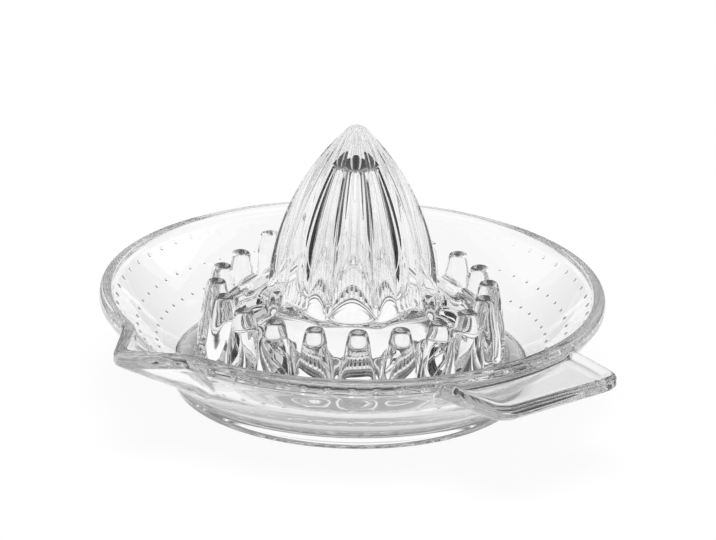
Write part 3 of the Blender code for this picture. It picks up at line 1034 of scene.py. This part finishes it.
def build_sheet():
    """The sheet lies along the camera's direction, with its edges outside the picture."""
    middle = Vector(studio_place(0.0, 0.0, 0.0))
    along = Vector(studio_place(0.0, 1.0, 0.0)) - middle
    across = Vector((-along.y, along.x, 0.0))
    corners = [middle + along * SHEET_FRONT - across * SHEET_HALF_WIDTH,
               middle + along * SHEET_FRONT + across * SHEET_HALF_WIDTH,
               middle - along * SHEET_BACK + across * SHEET_HALF_WIDTH,
               middle - along * SHEET_BACK - across * SHEET_HALF_WIDTH]
    stage_quad("white_sheet", corners, sheet_material())


def build_panels():
    """Upright soft panels that the glass shows, but that stay out of the camera's sight."""
    for name, angle, width, low, high, brightness in PANELS:
        material = bpy.data.materials.new(name)
        material.use_nodes = True
        nodes = material.node_tree.nodes
        nodes.clear()
        glow = nodes.new("ShaderNodeEmission")
        glow.inputs["Strength"].default_value = brightness
        output = nodes.new("ShaderNodeOutputMaterial")
        material.node_tree.links.new(glow.outputs[0], output.inputs["Surface"])
        middle = Vector(studio_place(angle, PANEL_DISTANCE, 0.0))
        out = (middle - Vector(studio_place(angle, 0.0, 0.0))).normalized()
        side = Vector((-out.y, out.x, 0.0)) * width / 2
        corners = [middle - side + Vector((0.0, 0.0, low)), middle + side + Vector((0.0, 0.0, low)),
                   middle + side + Vector((0.0, 0.0, high)), middle - side + Vector((0.0, 0.0, high))]
        panel = stage_quad(name, corners, material)
        panel.visible_camera = False


def build_lamp():
    """A large soft lamp overhead that lights the sheet; the glass does not mirror it."""
    data = bpy.data.lights.new("overhead_lamp", "AREA")
    data.shape = "DISK"
    data.size = LAMP_SIZE
    data.energy = LAMP_ENERGY
    lamp = bpy.data.objects.new("overhead_lamp", data)
    bpy.context.scene.collection.objects.link(lamp)
    lamp.location = (AXIS.x * MM, AXIS.y * MM, LAMP_HEIGHT)
    lamp.visible_glossy = False
    lamp.visible_transmission = False


def build_world():
    """White to the eye, and a dark studio to the glass."""
    world = bpy.data.worlds.new("studio")
    bpy.context.scene.world = world
    world.use_nodes = True
    nodes = world.node_tree.nodes
    links = world.node_tree.links
    nodes.clear()
    path = nodes.new("ShaderNodeLightPath")
    place = nodes.new("ShaderNodeTexCoord")
    split = nodes.new("ShaderNodeSeparateXYZ")
    ramp = grey_ramp(nodes, STUDIO_LEVELS)
    studio = nodes.new("ShaderNodeBackground")
    white = nodes.new("ShaderNodeBackground")
    white.inputs["Color"].default_value = (1.0, 1.0, 1.0, 1.0)
    blend = nodes.new("ShaderNodeMixShader")
    output = nodes.new("ShaderNodeOutputWorld")
    links.new(place.outputs["Generated"], split.inputs[0])
    links.new(split.outputs["Z"], ramp.inputs["Fac"])
    links.new(ramp.outputs["Color"], studio.inputs["Color"])
    links.new(path.outputs["Is Camera Ray"], blend.inputs["Fac"])
    links.new(studio.outputs[0], blend.inputs[1])
    links.new(white.outputs[0], blend.inputs[2])
    links.new(blend.outputs[0], output.inputs["Surface"])


def build_camera():
    """Looks at the middle of the rim's plane, which lies at the aim pixel."""
    data = bpy.data.cameras.new("camera")
    data.sensor_width = SENSOR_WIDTH
    data.lens = FOCAL_PIXELS * SENSOR_WIDTH / IMAGE_WIDTH
    data.shift_x = (IMAGE_WIDTH / 2 - AIM_PIXEL[0]) / IMAGE_WIDTH
    data.shift_y = (AIM_PIXEL[1] - IMAGE_HEIGHT / 2) / IMAGE_WIDTH
    data.clip_start = 0.1
    camera = bpy.data.objects.new("camera", data)
    bpy.context.scene.collection.objects.link(camera)
    elevation = math.radians(CAMERA_ELEVATION)
    azimuth = math.radians(CAMERA_AZIMUTH)
    outward = Vector((math.cos(azimuth) * math.cos(elevation),
                      math.sin(azimuth) * math.cos(elevation),
                      math.sin(elevation)))
    aim = Vector((AXIS.x, AXIS.y, RIM_HEIGHT)) * MM
    camera.location = aim + outward * CAMERA_DISTANCE
    look = (-outward).to_track_quat("-Z", "Y")
    roll = Euler((0.0, 0.0, math.radians(CAMERA_ROLL))).to_quaternion()
    camera.rotation_euler = (look @ roll).to_euler()
    bpy.context.scene.camera = camera


# Light is caught for long inside the rim and the handle's edge, so paths are not cut short
BOUNCES = 96

glass = build_glass()
glass.data.materials.append(glass_material())
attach(glass, "root")
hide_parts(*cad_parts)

build_sheet()
build_panels()
build_lamp()
build_world()
build_camera()

settings = bpy.context.scene
settings.view_settings.view_transform = "Standard"
settings.cycles.max_bounces = BOUNCES
settings.cycles.transmission_bounces = BOUNCES
settings.cycles.glossy_bounces = BOUNCES
